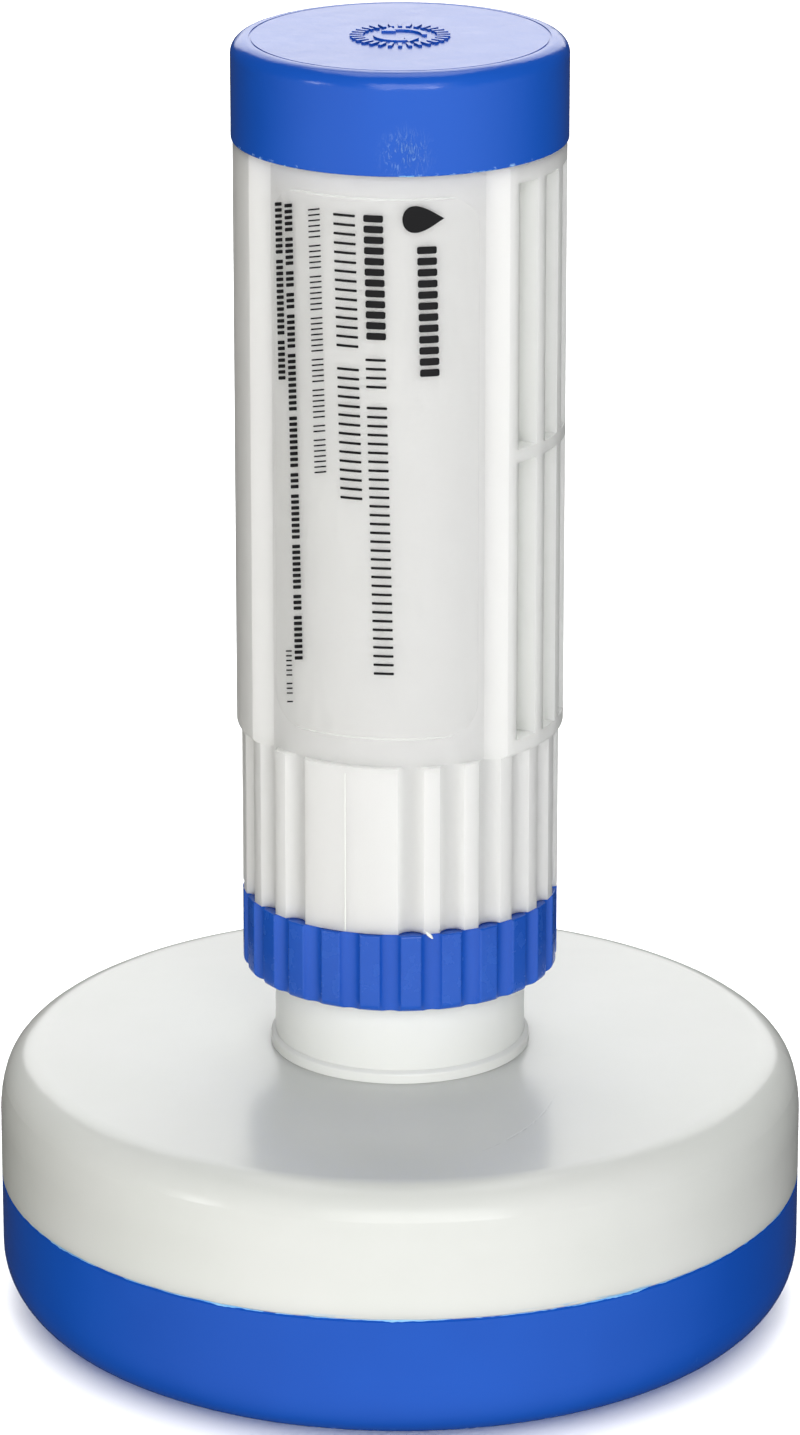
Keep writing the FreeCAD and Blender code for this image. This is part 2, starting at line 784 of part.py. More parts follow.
def make_cap_shell():
    """Blue screw cap: rounded edge, a fine step line, a ring of raised ticks and two turn arrows."""
    body = new_body("cap_shell")
    underside = "cap_top - cap_plate"
    revolved(body, "cup", [
        ("0", underside),
        ("cap_thread_root", underside),
        ("cap_thread_root", "cap_bottom"),
        ("cap_radius", "cap_bottom"),
        ("cap_radius", "cap_top"),
        ("0", "cap_top"),
    ])
    rounded(body, "top_edge", "cap_edge", at("cap_radius", "cap_top"))
    rounded(body, "lower_edge", "cap_lower_edge", at("cap_radius", "cap_bottom"))
    revolved(body, "step_line", rectangle(
        "line_radius", "line_radius + line_width", "cap_top - line_depth", "cap_top + reach"), cut=True)
    tick = primitive(body, "AdditiveBox", "tick", "cap_top - emboss_root", Length="tick_length",
                     Width="tick_width", Height="emboss_height + emboss_root")
    centre_box(tick, "tick_inner", "0", "tick_width")
    around(body, tick, "ticks", "tick_count")
    arrow = turn_arrow(body)
    around(body, arrow, "arrows", "2")
    thread(body, "screw", "cap_thread_root", "cap_thread_crest", "thread_bottom + thread_lead / 4", True)
    return body


def turn_arrow(body):
    """A curved bar with a pointed head, raised on the cap's top."""
    sketch = new_sketch(body, "arrow_outline", "XY_Plane", "cap_top - emboss_root")
    bar_inner = ("arrow_inner", "0", "0")
    bar_outer = ("arrow_outer", "0", "0")

    def polar(radius, turn):
        return (f"({radius}) * cos({turn})", f"({radius}) * sin({turn})")

    outline(sketch, [
        polar("arrow_outer", "0") + bar_outer + ("left",),
        polar("arrow_outer", "arrow_sweep"),
        polar("arrow_outer + arrow_head", "arrow_sweep"),
        polar("(arrow_inner + arrow_outer) / 2", "arrow_sweep + arrow_point"),
        polar("arrow_inner - arrow_head", "arrow_sweep"),
        polar("arrow_inner", "arrow_sweep") + bar_inner + ("right",),
        polar("arrow_inner", "0"),
    ])
    pad = body.newObject("PartDesign::Pad", "arrow")
    pad.Profile = sketch
    bind(pad, Length="emboss_height + emboss_root")
    document.recompute()
    return pad


def make_cap_gasket():
    """Flat soft washer between the cap's underside and the sleeve's mouth."""
    body = new_body("cap_gasket")
    top = "cap_top - cap_plate - gasket_gap"
    revolved(body, "washer", rectangle(
        "gasket_bore", "gasket_radius", f"{top} - gasket_thickness", top))
    return body


# ---------------------------------------------------------------- build, check and write

SUB_PARTS = [
    make_float_lower_shell(),
    make_float_upper_shell(),
    make_stem_collar(),
    make_stem_o_ring(),
    make_tablet_tube(),
    make_tube_end_plug(),
    make_ring_clip(),
    make_friction_ring(),
    make_adjuster_ring(),
    make_outer_body(),
    make_sleeve_retainer(),
    make_label_film(),
    make_cap_shell(),
    make_cap_gasket(),
]
document.recompute()

for item in document.Objects:
    if "Invalid" in item.State or "Error" in item.State:
        raise RuntimeError(f"{item.Name} failed: {item.State}")
for item in SUB_PARTS:
    if item.Shape.isNull() or not item.Shape.isValid():
        raise RuntimeError(f"{item.Label} has no valid shape")

os.makedirs("parts", exist_ok=True)
for item in SUB_PARTS:
    item.Shape.exportStep(f"parts/{item.Label}.step")
    box = item.Shape.optimalBoundingBox()
    print(f"{item.Label:18s} solids {len(item.Shape.Solids)}  volume {item.Shape.Volume:9.1f}  "
          f"z {box.ZMin:6.1f} to {box.ZMax:6.1f}  half width {box.XMax:5.1f}")
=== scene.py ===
import bpy
import bmesh
import math
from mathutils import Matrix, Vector, noise


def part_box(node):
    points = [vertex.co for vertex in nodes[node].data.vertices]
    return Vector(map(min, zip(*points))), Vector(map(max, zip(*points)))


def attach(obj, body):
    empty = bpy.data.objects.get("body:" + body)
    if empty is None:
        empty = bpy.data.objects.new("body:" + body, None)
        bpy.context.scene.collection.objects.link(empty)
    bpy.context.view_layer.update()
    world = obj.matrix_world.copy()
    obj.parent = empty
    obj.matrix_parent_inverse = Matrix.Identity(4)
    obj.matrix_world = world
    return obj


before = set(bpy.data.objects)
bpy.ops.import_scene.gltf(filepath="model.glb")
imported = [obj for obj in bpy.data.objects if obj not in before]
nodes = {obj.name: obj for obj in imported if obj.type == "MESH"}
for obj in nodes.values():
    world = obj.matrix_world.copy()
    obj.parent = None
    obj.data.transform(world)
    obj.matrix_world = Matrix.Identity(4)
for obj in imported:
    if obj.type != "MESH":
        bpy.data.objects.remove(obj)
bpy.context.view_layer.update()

# Lengths are in metres. Azimuths are in degrees, counted about +Z from -Y (the front) towards +X.
MM = 0.001

# ------------------------------------------------------------------ sizes read from the frame

cap_low, cap_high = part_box("cap_shell")
sleeve_low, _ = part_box("outer_body")
film_low, film_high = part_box("label_film")
float_low, float_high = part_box("float_lower_shell")

FLOAT_RADIUS = float_high.x
SEAM = float_high.z
CAP_RADIUS = cap_high.x
CAP_BOTTOM = cap_low.z
EMBOSS_HEIGHT = 0.3 * MM
CAP_TOP = cap_high.z - EMBOSS_HEIGHT  # the top's flat, which the raised marks stand on
FILM_RADIUS = -film_low.y

GRIP_RADIUS = 24.75 * MM  # crests of the sleeve's grip and of the ring's ribs
GRIP_TOP = 96.6 * MM


def polar(radius, azimuth, height):
    """A point from a radius, an azimuth and a height."""
    turn = math.radians(azimuth - 90)
    return Vector((radius * math.cos(turn), radius * math.sin(turn), height))


# ------------------------------------------------------------------ material nodes

class Shader:
    """A small builder for one procedural material."""

    def __init__(self, name):
        self.material = bpy.data.materials.new(name)
        self.material.use_nodes = True
        self.tree = self.material.node_tree
        self.surface = self.tree.nodes["Principled BSDF"]
        self.place = self.tree.nodes.new("ShaderNodeTexCoord").outputs["Object"]

    def node(self, kind, **settings):
        made = self.tree.nodes.new("ShaderNode" + kind)
        for key, setting in settings.items():
            setattr(made, key, setting)
        return made

    def give(self, socket, given):
        """Link a socket to another one, or set its value."""
        if isinstance(given, bpy.types.NodeSocket):
            self.tree.links.new(given, socket)
        elif socket.type == "RGBA":
            socket.default_value = (*given, 1)
        else:
            socket.default_value = given

    def feed(self, made, **inputs):
        for key, given in inputs.items():
            self.give(made.inputs[key.replace("_", " ")], given)
        return made

    def noise(self, scale, detail=3, stretch=(1, 1, 1), offset=(0, 0, 0), rough=0.5, distort=0.0):
        """Noise between 0 and 1; scale is in features per metre."""
        mapping = self.feed(self.node("Mapping"), Vector=self.place, Scale=stretch, Location=offset)
        made = self.node("TexNoise")
        self.feed(made, Vector=mapping.outputs["Vector"], Scale=scale, Detail=detail,
                  Roughness=rough, Distortion=distort)
        return made.outputs["Fac"]

    def ramp(self, value, low, high, start=0.0, end=1.0):
        """value rescaled from low..high to start..end, held at both ends."""
        made = self.node("MapRange", clamp=True, interpolation_type="SMOOTHSTEP")
        self.feed(made, Value=value, From_Min=low, From_Max=high, To_Min=start, To_Max=end)
        return made.outputs["Result"]

    def math(self, operation, a, b=0.0):
        made = self.node("Math", operation=operation)
        for socket, given in zip(made.inputs, (a, b)):
            self.give(socket, given)
        return made.outputs["Value"]

    def mix(self, factor, a, b):
        """Colour a to colour b."""
        made = self.node("Mix", data_type="RGBA")
        first, second = (socket for socket in made.inputs if socket.type == "RGBA")
        for socket, given in ((made.inputs[0], factor), (first, a), (second, b)):
            self.give(socket, given)
        return next(socket for socket in made.outputs if socket.type == "RGBA")

    def axis(self, name):
        made = self.node("SeparateXYZ")
        self.tree.links.new(self.place, made.inputs[0])
        return made.outputs[name]

    def near(self, point, radius):
        """1 at a point, falling to 0 at a radius."""
        made = self.node("VectorMath", operation="DISTANCE")
        self.tree.links.new(self.place, made.inputs[0])
        made.inputs[1].default_value = point
        return self.ramp(made.outputs["Value"], 0.0, radius, 1.0, 0.0)

    def reach(self, centre=(0, 0)):
        """Distance from an upright line through (x, y)."""
        flat = self.node("VectorMath", operation="MULTIPLY_ADD")
        self.tree.links.new(self.place, flat.inputs[0])
        flat.inputs[1].default_value = (1, 1, 0)
        flat.inputs[2].default_value = (-centre[0], -centre[1], 0)
        made = self.node("VectorMath", operation="LENGTH")
        self.tree.links.new(flat.outputs["Vector"], made.inputs[0])
        return made.outputs["Value"]

    def from_cylinder(self, centre, radius):
        """How far a point is from an upright cylinder about a centre (x, y)."""
        return self.math("ABSOLUTE", self.math("SUBTRACT", self.reach(centre), radius))

    def bump(self, height, depth, strength=1.0, under=None):
        """A bump whose height of 1 is depth metres."""
        made = self.node("Bump")
        self.feed(made, Height=height, Distance=depth, Strength=strength)
        if under is not None:
            self.tree.links.new(under, made.inputs["Normal"])
        return made.outputs["Normal"]

    def uniform(self, **values):
        """Set numbers on the surface itself."""
        self.feed(self.surface, **values)


GLOSS_SPREAD = 0.03  # how far roughness wanders over a moulded surface


def moulded(name, base, tint, rubbed, roughness, ripple=0.06 * MM, grain=0.005 * MM, scatter=0.0,
            scatter_scale=0.001, specular=0.5, wear=0.5, seed=0, drift_scale=38):
    """Injection-moulded plastic: drifting colour, fine grain, slow ripple and rubbed marks. Gives the
    shader and its colour, roughness and normal so far."""
    shader = Shader(name)
    drift = shader.noise(drift_scale, detail=2, offset=(seed, 0, 0))
    colour = shader.mix(shader.ramp(drift, 0.3, 0.7), base, tint)
    haze = shader.noise(160, detail=4, offset=(3, seed, 2))
    rub = shader.noise(900, detail=5, stretch=(1, 1, 0.25), rough=0.65, offset=(0, 0, seed))
    marks = shader.math("MULTIPLY", shader.ramp(rub, 0.64, 0.78), shader.ramp(haze, 0.52, 0.68))
    marks = shader.math("MULTIPLY", marks, wear)
    colour = shader.mix(marks, colour, rubbed)
    gloss = shader.ramp(haze, 0.25, 0.75, roughness - GLOSS_SPREAD / 2, roughness + GLOSS_SPREAD / 2)
    rough = shader.math("ADD", gloss, shader.math("MULTIPLY", marks, 0.25))
    slow = shader.bump(shader.noise(110, detail=2, offset=(5, 5, seed)), ripple)
    normal = shader.bump(shader.noise(3200, detail=2), grain, under=slow)
    shader.uniform(Specular_IOR_Level=specular)
    if scatter:
        shader.uniform(Subsurface_Weight=scatter, Subsurface_Radius=(1.0, 1.0, 1.0),
                       Subsurface_Scale=scatter_scale)
    return shader, colour, rough, normal


BLUE = (0.009, 0.098, 0.545)
BLUE_DEEP = (0.007, 0.086, 0.50)
BLUE_RUBBED = (0.10, 0.30, 0.80)
FLOAT_BLUES = ((0.006, 0.090, 0.52), (0.005, 0.080, 0.48), BLUE_RUBBED)
BLUES = (BLUE, BLUE_DEEP, BLUE_RUBBED)

# each plastic's main tone, the tone it drifts to and its rubbed tone
WHITE_TONES = {
    "float": ((0.77, 0.785, 0.755), (0.75, 0.77, 0.735), (0.68, 0.70, 0.67)),
    # the tube's main tone is painted light: lightened to lift the shade inside the sleeve's windows
    "tube": ((0.985, 0.995, 0.97), (0.975, 0.985, 0.96), (0.90, 0.91, 0.89)),
    "sleeve": ((0.925, 0.948, 0.905), (0.91, 0.933, 0.89), (0.84, 0.86, 0.83)),
}


def finish(shader, colour, rough, normal):
    """Join the last colour, roughness and normal to the surface."""
    shader.feed(shader.surface, Base_Color=colour, Roughness=rough, Normal=normal)
    return shader


def blue_cap():
    """Glossy blue with the scuffed patch low on the front and fine chips along the lower edge."""
    shader, colour, rough, normal = moulded("blue_cap_plastic", *BLUES, 0.22, wear=0.3,
                                            specular=0.33, seed=1)
    patch = shader.near(polar(CAP_RADIUS, 2, CAP_BOTTOM + 3.5 * MM), 5.5 * MM)
    scrape = shader.noise(1300, detail=8, stretch=(1, 1, 0.3), rough=0.75, distort=2.5)
    scrape = shader.math("MULTIPLY", shader.ramp(scrape, 0.50, 0.62), patch)
    rim = shader.ramp(shader.axis("Z"), CAP_BOTTOM + 0.7 * MM, CAP_BOTTOM + 0.15 * MM)
    chips = shader.math("MULTIPLY", shader.ramp(shader.noise(900, detail=5), 0.58, 0.70), rim)
    marks = shader.math("MAXIMUM", shader.math("MULTIPLY", scrape, 0.38), chips)
    colour = shader.mix(marks, colour, (0.36, 0.62, 0.93))
    rough = shader.math("ADD", rough, shader.math("MULTIPLY", marks, 0.3))
    dents = shader.noise(240, detail=3, stretch=(1, 1, 2.2), offset=(2, 8, 4))
    shoulder = shader.ramp(shader.axis("Z"), CAP_TOP - 9 * MM, CAP_TOP - 1 * MM)
    normal = shader.bump(shader.math("MULTIPLY", dents, shoulder), 0.10 * MM, under=normal)
    normal = shader.bump(scrape, 0.03 * MM, under=normal)
    return finish(shader, colour, rough, normal)


def blue_ring():
    """Blue with faintly rubbed rib crests."""
    shader, colour, rough, normal = moulded("blue_ring_plastic", *BLUES, 0.24, wear=0.3,
                                            specular=0.45, seed=2)
    crest = shader.ramp(shader.reach(), GRIP_RADIUS - 0.30 * MM, GRIP_RADIUS + 0.03 * MM)
    handled = shader.math("MULTIPLY", crest, shader.ramp(shader.noise(420, detail=5), 0.45, 0.75))
    colour = shader.mix(shader.math("MULTIPLY", handled, 0.10), colour, (0.06, 0.22, 0.74))
    rough = shader.math("ADD", rough, shader.math("MULTIPLY", handled, 0.12))
    return finish(shader, colour, rough, normal)


def blue_float():
    """Glossy blue bowl; scuffed paler low down, where it is set on the ground."""
    shader, colour, rough, normal = moulded("blue_float_plastic", *FLOAT_BLUES, 0.20, wear=0.3,
                                            specular=0.26, seed=3)
    low = shader.ramp(shader.axis("Z"), 3.0 * MM, 0.0)
    scuffs = shader.ramp(shader.noise(520, detail=6, stretch=(1, 1, 0.6), rough=0.7), 0.50, 0.70)
    scuffs = shader.math("MULTIPLY", scuffs, low)
    colour = shader.mix(shader.math("MULTIPLY", scuffs, 0.5), colour, (0.16, 0.36, 0.80))
    rough = shader.math("ADD", rough, shader.math("MULTIPLY", scuffs, 0.3))
    swirl = shader.noise(60, detail=2, stretch=(1, 1, 3), offset=(9, 4, 1))
    normal = shader.bump(swirl, 0.10 * MM, under=normal)
    return finish(shader, colour, rough, normal)


def white_float():
    """Glossy white dome: pale blue smears along the weld, a long curved scratch on the top."""
    shader, colour, rough, normal = moulded("white_float_plastic", *WHITE_TONES["float"], 0.22,
                                            wear=0.2, seed=4, scatter=0.6, scatter_scale=0.005,
                                            specular=0.30)
    near_weld = shader.ramp(shader.axis("Z"), SEAM + 0.9 * MM, SEAM + 0.2 * MM)
    smear = shader.ramp(shader.noise(85, detail=5, stretch=(1, 1, 5), offset=(1, 2, 3)), 0.56, 0.63)
    smear = shader.math("MULTIPLY", smear, near_weld)
    colour = shader.mix(shader.math("MULTIPLY", smear, 0.8), colour, (0.25, 0.58, 0.92))
    bend = shader.from_cylinder((-14 * MM, -18 * MM), 38.5 * MM)
    line = shader.ramp(bend, 0.22 * MM, 0.04 * MM)
    line = shader.math("MULTIPLY", line, shader.near((21 * MM, -37 * MM, 42.2 * MM), 17 * MM))
    line = shader.math("MULTIPLY", line, shader.ramp(shader.noise(700, detail=3), 0.35, 0.6))
    colour = shader.mix(shader.math("MULTIPLY", line, 0.6), colour, (0.58, 0.60, 0.58))
    normal = shader.bump(line, -0.04 * MM, under=normal)
    swirl = shader.noise(48, detail=2, offset=(3, 3, 7))
    normal = shader.bump(swirl, 0.12 * MM, under=normal)
    return finish(shader, colour, rough, normal)


def white_sleeve():
    """Waxy white with faint flow bands down its length."""
    shader, colour, rough, normal = moulded("white_sleeve_plastic", *WHITE_TONES["sleeve"], 0.38,
                                            wear=0.25, seed=5, scatter=1.0, scatter_scale=0.008)
    bands = shader.noise(260, detail=3, stretch=(1, 1, 0.04))
    colour = shader.mix(shader.math("MULTIPLY", shader.ramp(bands, 0.45, 0.75), 0.25), colour,
                        (0.90, 0.905, 0.875))
    normal = shader.bump(bands, 0.02 * MM, under=normal)
    return finish(shader, colour, rough, normal)


def white_tube():
    """Glossy white, painted lighter above the neck: painted light that lifts the shade where the tube
    shows through the sleeve's windows. The neck is a little darker and warmer.
    """
    shader, colour, rough, normal = moulded("white_tube_plastic", *WHITE_TONES["tube"], 0.34,
                                            wear=0.25, seed=6, scatter=0.1, scatter_scale=0.003)
    # the painted light ends here: above the neck the tube keeps its lightened tone, the neck goes
    # darker
    neck = shader.ramp(shader.axis("Z"), 75 * MM, 65 * MM)
    colour = shader.mix(neck, colour, (0.89, 0.903, 0.87))
    return finish(shader, colour, rough, normal)


def clear_film():
    """Clear printed film: faint streaks, a soft gloss and a slightly milky edge."""
    shader, colour, rough, normal = moulded("clear_label_film", (0.90, 0.91, 0.88),
                                            (0.88, 0.89, 0.86), (0.78, 0.79, 0.76), 0.26,
                                            wear=0.1, seed=8)
    height = shader.axis("Z")
    top = shader.ramp(height, film_high.z - 0.5 * MM, film_high.z - 0.1 * MM)
    bottom = shader.ramp(height, film_low.z + 0.5 * MM, film_low.z + 0.1 * MM)
    edge = shader.math("MAXIMUM", top, bottom)
    streaks = shader.ramp(shader.noise(90, detail=4, stretch=(1, 1, 0.3)), 0.5, 0.75)
    milky = shader.math("MAXIMUM", shader.math("MULTIPLY", edge, 0.14),
                        shader.math("MULTIPLY", streaks, 0.04))
    shader.feed(shader.surface, Alpha=shader.math("ADD", milky, 0.025))
    creases = shader.noise(70, detail=4, stretch=(1, 1, 0.3))
    normal = shader.bump(creases, 0.03 * MM, under=normal)
    return finish(shader, colour, rough, normal)


def plain(*tones, **options):
    """Moulded plastic with nothing added."""
    return finish(*moulded(*tones, **options))


INK = plain("black_print", (0.008, 0.008, 0.009), (0.012, 0.012, 0.013), (0.05, 0.05, 0.05), 0.6,
            specular=0.12, wear=0.4, seed=11)
# pale blue: real weld flash on the float, and a painted highlight line on the cap's edge bead
FLASH_AND_HIGHLIGHT = plain("blue_flash_and_painted_highlight", (0.12, 0.42, 0.86), (0.30, 0.62, 0.93), (0.55, 0.80, 0.97), 0.35,
              wear=0.8, seed=12, drift_scale=300)
# painted shade: the raised marks are a darker blue than the cap, for slopes that miss the bright
# reflection on the cap's top
MARKS_PAINTED_SHADE = plain("blue_raised_marks_painted_shade", (0.006, 0.065, 0.42), (0.005, 0.055, 0.36), BLUE_RUBBED, 0.5,
              wear=0.2, specular=0.3, seed=13)
TUBE_WHITE = white_tube()
SLEEVE_WHITE = white_sleeve()
TRIM_WHITE = plain("white_trim_plastic", *WHITE_TONES["sleeve"], 0.4, wear=0.25, seed=17)
FLOAT_BLUE = blue_float()
FLOAT_WHITE = white_float()
INNER = plain("natural_nylon", (0.74, 0.75, 0.72), (0.70, 0.71, 0.68), (0.6, 0.6, 0.58), 0.45,
              wear=0.2, seed=14)
RUBBER = plain("black_nitrile", (0.018, 0.018, 0.02), (0.03, 0.03, 0.032), (0.12, 0.12, 0.12), 0.55,
               wear=0.4, seed=15)

FINISH = {
    "float_lower_shell": FLOAT_BLUE,
    "float_upper_shell": FLOAT_WHITE,
    "stem_collar": TUBE_WHITE,
    "stem_o_ring": RUBBER,
    "tablet_tube": TUBE_WHITE,
    "tube_end_plug": TUBE_WHITE,
    "ring_clip": INNER,
    "friction_ring": RUBBER,
    "adjuster_ring": blue_ring(),
    "outer_body": SLEEVE_WHITE,
    "sleeve_retainer": INNER,
    "label_film": clear_film(),
    "cap_shell": blue_cap(),
    "cap_gasket": plain("gasket_foam", (0.72, 0.71, 0.66), (0.66, 0.65, 0.60), (0.6, 0.6, 0.55),
                        0.8, ripple=0.2 * MM, grain=0.08 * MM, seed=16),
}
for node, shader in FINISH.items():
    mesh = nodes[node].data
    mesh.materials.clear()
    mesh.materials.append(shader.material)

# ------------------------------------------------------------------ detail pieces

def piece(name, build, shader, body, smooth=True):
    """A mesh piece from a bmesh builder, riding on a CAD body."""
    work = bmesh.new()
    build(work)
    bmesh.ops.recalc_face_normals(work, faces=work.faces)
    mesh = bpy.data.meshes.new(name)
    work.to_mesh(mesh)
    work.free()
    for face in mesh.polygons:
        face.use_smooth = smooth
    mesh.materials.append(shader.material)
    made = bpy.data.objects.new(name, mesh)
    bpy.context.scene.collection.objects.link(made)
    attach(made, body)
    return made


def join(work, lower, upper):
    """Quads between two closed rings of vertices."""
    count = len(lower)
    for index in range(count):
        step = (index + 1) % count
        work.faces.new((lower[index], lower[step], upper[step], upper[index]))


def hoop(work, rings):
    """A closed hoop through rings of points."""
    made = [[work.verts.new(point) for point in ring] for ring in rings]
    for this, after in zip(made, made[1:] + made[:1]):
        join(work, this, after)


def loft(work, rings):
    """A closed solid through rings of points, with a face on each end."""
    made = [[work.verts.new(point) for point in ring] for ring in rings]
    for lower, upper in zip(made, made[1:]):
        join(work, lower, upper)
    work.faces.new(made[0])
    work.faces.new(made[-1])


BEAD_SIDES = 8
BEAD_STEPS = 1440
BEAD_LEAST = 0.12  # share of the full bead that is left where it is thinnest
BEAD_USUAL = 0.30  # share away from the smears


def ragged_bead(radius, height, reach, thick, smears, seed):
    """A closed bead round the axis, whose thickness wanders and swells at each smear (azimuth, half
    width, gain). It never stands out past radius."""
    def build(work):
        rings = []
        for step in range(BEAD_STEPS):
            azimuth = step * 360 / BEAD_STEPS - 180
            turn = math.radians(azimuth)
            way = Vector((math.cos(turn) * 9, math.sin(turn) * 9, seed))
            fine = 0.5 + 0.5 * noise.noise(way * 4) + 0.35 * noise.noise(way * 15)
            swell = 0.0
            for centre, half, gain in smears:
                swell += gain * math.exp(-((azimuth - centre) / half) ** 2)
            ragged = 0.6 + 0.4 * noise.noise(way * 9)
            full = min(1.0, max(BEAD_LEAST, BEAD_USUAL * fine + swell * ragged))
            drift = 0.35 * thick * noise.noise(way * 3 + Vector((5, 5, 5)))
            ring = []
            for corner in range(BEAD_SIDES):
                angle = math.tau * corner / BEAD_SIDES
                out = reach * full * (math.cos(angle) - 1) / 2 - reach * (1 - full) * 0.55
                up = thick * full * math.sin(angle) / 2 + drift
                ring.append(polar(radius + out, azimuth, height + up))
            rings.append(ring)
        hoop(work, rings)
    return build


WELD_SMEARS = [(-55, 5, 0.7), (-25, 4, 0.8), (0, 3, 1.0), (32, 5, 0.9), (70, 4, 0.5),
               (-84, 5, 0.5), (118, 6, 0.7), (171, 5, 0.8), (-140, 6, 0.6)]
piece("float_weld_flash", ragged_bead(FLOAT_RADIUS, SEAM, 0.5 * MM, 0.75 * MM, WELD_SMEARS, 3.0),
      FLASH_AND_HIGHLIGHT, "float_base")

# painted highlight: a pale bead along the cap's lower edge, swelling most at the front, paints the
# highlight line there
CAP_HIGHLIGHT_SMEARS = [(-40, 14, 0.5), (-8, 9, 0.8), (3, 4, 1.0), (28, 9, 0.6), (100, 10, 0.5),
              (-150, 12, 0.5)]
piece("cap_edge_bead_painted_highlight", ragged_bead(CAP_RADIUS - 0.02 * MM, CAP_BOTTOM + 0.16 * MM, 0.32 * MM,
                                    0.26 * MM, CAP_HIGHLIGHT_SMEARS, 8.0), FLASH_AND_HIGHLIGHT, "cap")


def dome(work, outline, base, crown, inset):
    """A low crowned shape over a flat outline of (x, y): skirt, shoulder and flat top."""
    count = len(outline)
    middle = Vector((sum(x for x, _ in outline) / count, sum(y for _, y in outline) / count))
    levels = [(0.0, 0.0), (0.10, 0.62), (0.45, 0.92)]  # how far in and how far up each ring lies
    made = []
    for shrink, rise in levels:
        ring = []
        for x, y in outline:
            spot = Vector((x, y))
            towards = middle - spot
            far = towards.length
            spot = spot + towards * min(1.0, shrink * inset / far if far else 0)
            ring.append(work.verts.new((spot.x, spot.y, base + (crown - base) * rise)))
        made.append(ring)
    for lower, upper in zip(made, made[1:]):
        join(work, lower, upper)
    work.faces.new(made[-1])


TICK_COUNT = 30
TICK_RING = 6.6 * MM  # radius of the ring that runs through the ticks' middles
TICK_HALF = 0.74 * MM  # from a tick's middle to the centre of its round end
TICK_END = 0.36 * MM  # radius of its round end
TICK_CORNERS = 16


def raised_marks(work):
    """Rounded tops for the ring of ticks on the cap."""
    for number in range(TICK_COUNT):
        azimuth = number * 360 / TICK_COUNT
        along = polar(1, azimuth, 0)
        across = Vector((-along.y, along.x, 0))
        corners = []
        for step in range(TICK_CORNERS):
            angle = math.tau * step / TICK_CORNERS
            end = 1 if math.cos(angle) > 0 else -1
            spot = along * (TICK_RING + end * TICK_HALF + TICK_END * math.cos(angle))
            spot += across * TICK_END * math.sin(angle)
            corners.append((spot.x, spot.y))
        dome(work, corners, CAP_TOP - 0.02 * MM, cap_high.z, 0.5 * MM)


# the marks' darker blue is painted shade
piece("cap_raised_marks", raised_marks, MARKS_PAINTED_SHADE, "cap")


CURVE_STEP = 0.5 * MM
PRINT_RADIUS = FILM_RADIUS + 0.02 * MM


def wrapped(work, outline):
    """A flat outline of (distance round, height) laid on the film, cut up so that it curves."""
    verts = [work.verts.new((x, 0, z)) for x, z in outline]
    face = work.faces.new(verts)
    low = min(x for x, _ in outline)
    high = max(x for x, _ in outline)
    cuts = max(1, int((high - low) / CURVE_STEP))
    parts = [face] + list(face.edges) + list(face.verts)
    for index in range(1, cuts + 1):
        spot = low + (high - low) * index / (cuts + 1)
        result = bmesh.ops.bisect_plane(work, geom=parts, plane_co=(spot, 0, 0), plane_no=(1, 0, 0))
        parts = result["geom"]
    for item in parts:
        if isinstance(item, bmesh.types.BMVert):
            item.co = polar(PRINT_RADIUS, math.degrees(item.co.x / FILM_RADIUS), item.co.z)


CORNER_SHARE = 0.35  # how much of a tick's half size its softened corner takes


def tick_outline(centre, width, top, bottom, slant):
    """Corners of a tick with softened corners, whose right end is raised by the slant."""
    half = width / 2
    soft = min(half, (top - bottom) / 2) * CORNER_SHARE
    left, right = centre - half, centre + half
    return [
        (left + soft, bottom), (right - soft, bottom + slant), (right, bottom + soft + slant),
        (right, top - soft + slant), (right - soft, top + slant), (left + soft, top),
        (left, top - soft), (left, bottom + soft),
    ]


# lines of the printed block, all in millimetres but the azimuth of a line's middle: width across the
# line, top, slant, thickness of a tick, gap after it, ticks in each group and gap between groups
PRINT_LINES = [
    (10.4, 3.0, 178.8, 0.0, 1.15, 0.58, (12,), 0.0),
    (-9.2, 3.0, 183.6, 0.0, 1.10, 0.55, (12,), 0.0),
    (-7.4, 3.1, 161.4, 0.0, 0.40, 1.00, (4, 31), 1.9),
    (-19.4, 3.5, 183.5, 0.0, 0.40, 1.04, (15, 15), 2.2),
    (-31.8, 2.1, 183.5, 0.45, 0.24, 0.60, (6, 5, 7, 7, 5, 6, 2, 7), 0.55),
    (-43.0, 1.65, 183.5, 0.35, 0.56, 0.36, (5, 5, 3, 3, 6, 10, 9, 3, 8, 8, 3, 8), 0.6),
    (-49.8, 1.65, 183.3, 0.35, 0.56, 0.36, (9, 13, 7), 0.6),
    (-45.8, 1.3, 113.0, 0.3, 0.24, 0.53, (6, 3, 1), 0.6),
]
PRINT_LEAN = math.tan(math.radians(1.4))  # the print runs a little askew down the film

# the water drop, lying on its side with its tip to the right
DROP_ROUND = FILM_RADIUS * math.radians(8.6)
DROP_HEIGHT = 183.0 * MM
DROP_REACH = 3.2 * MM
DROP_GIRTH = 2.9 * MM
DROP_TAPER = 1.4
DROP_CORNERS = 40


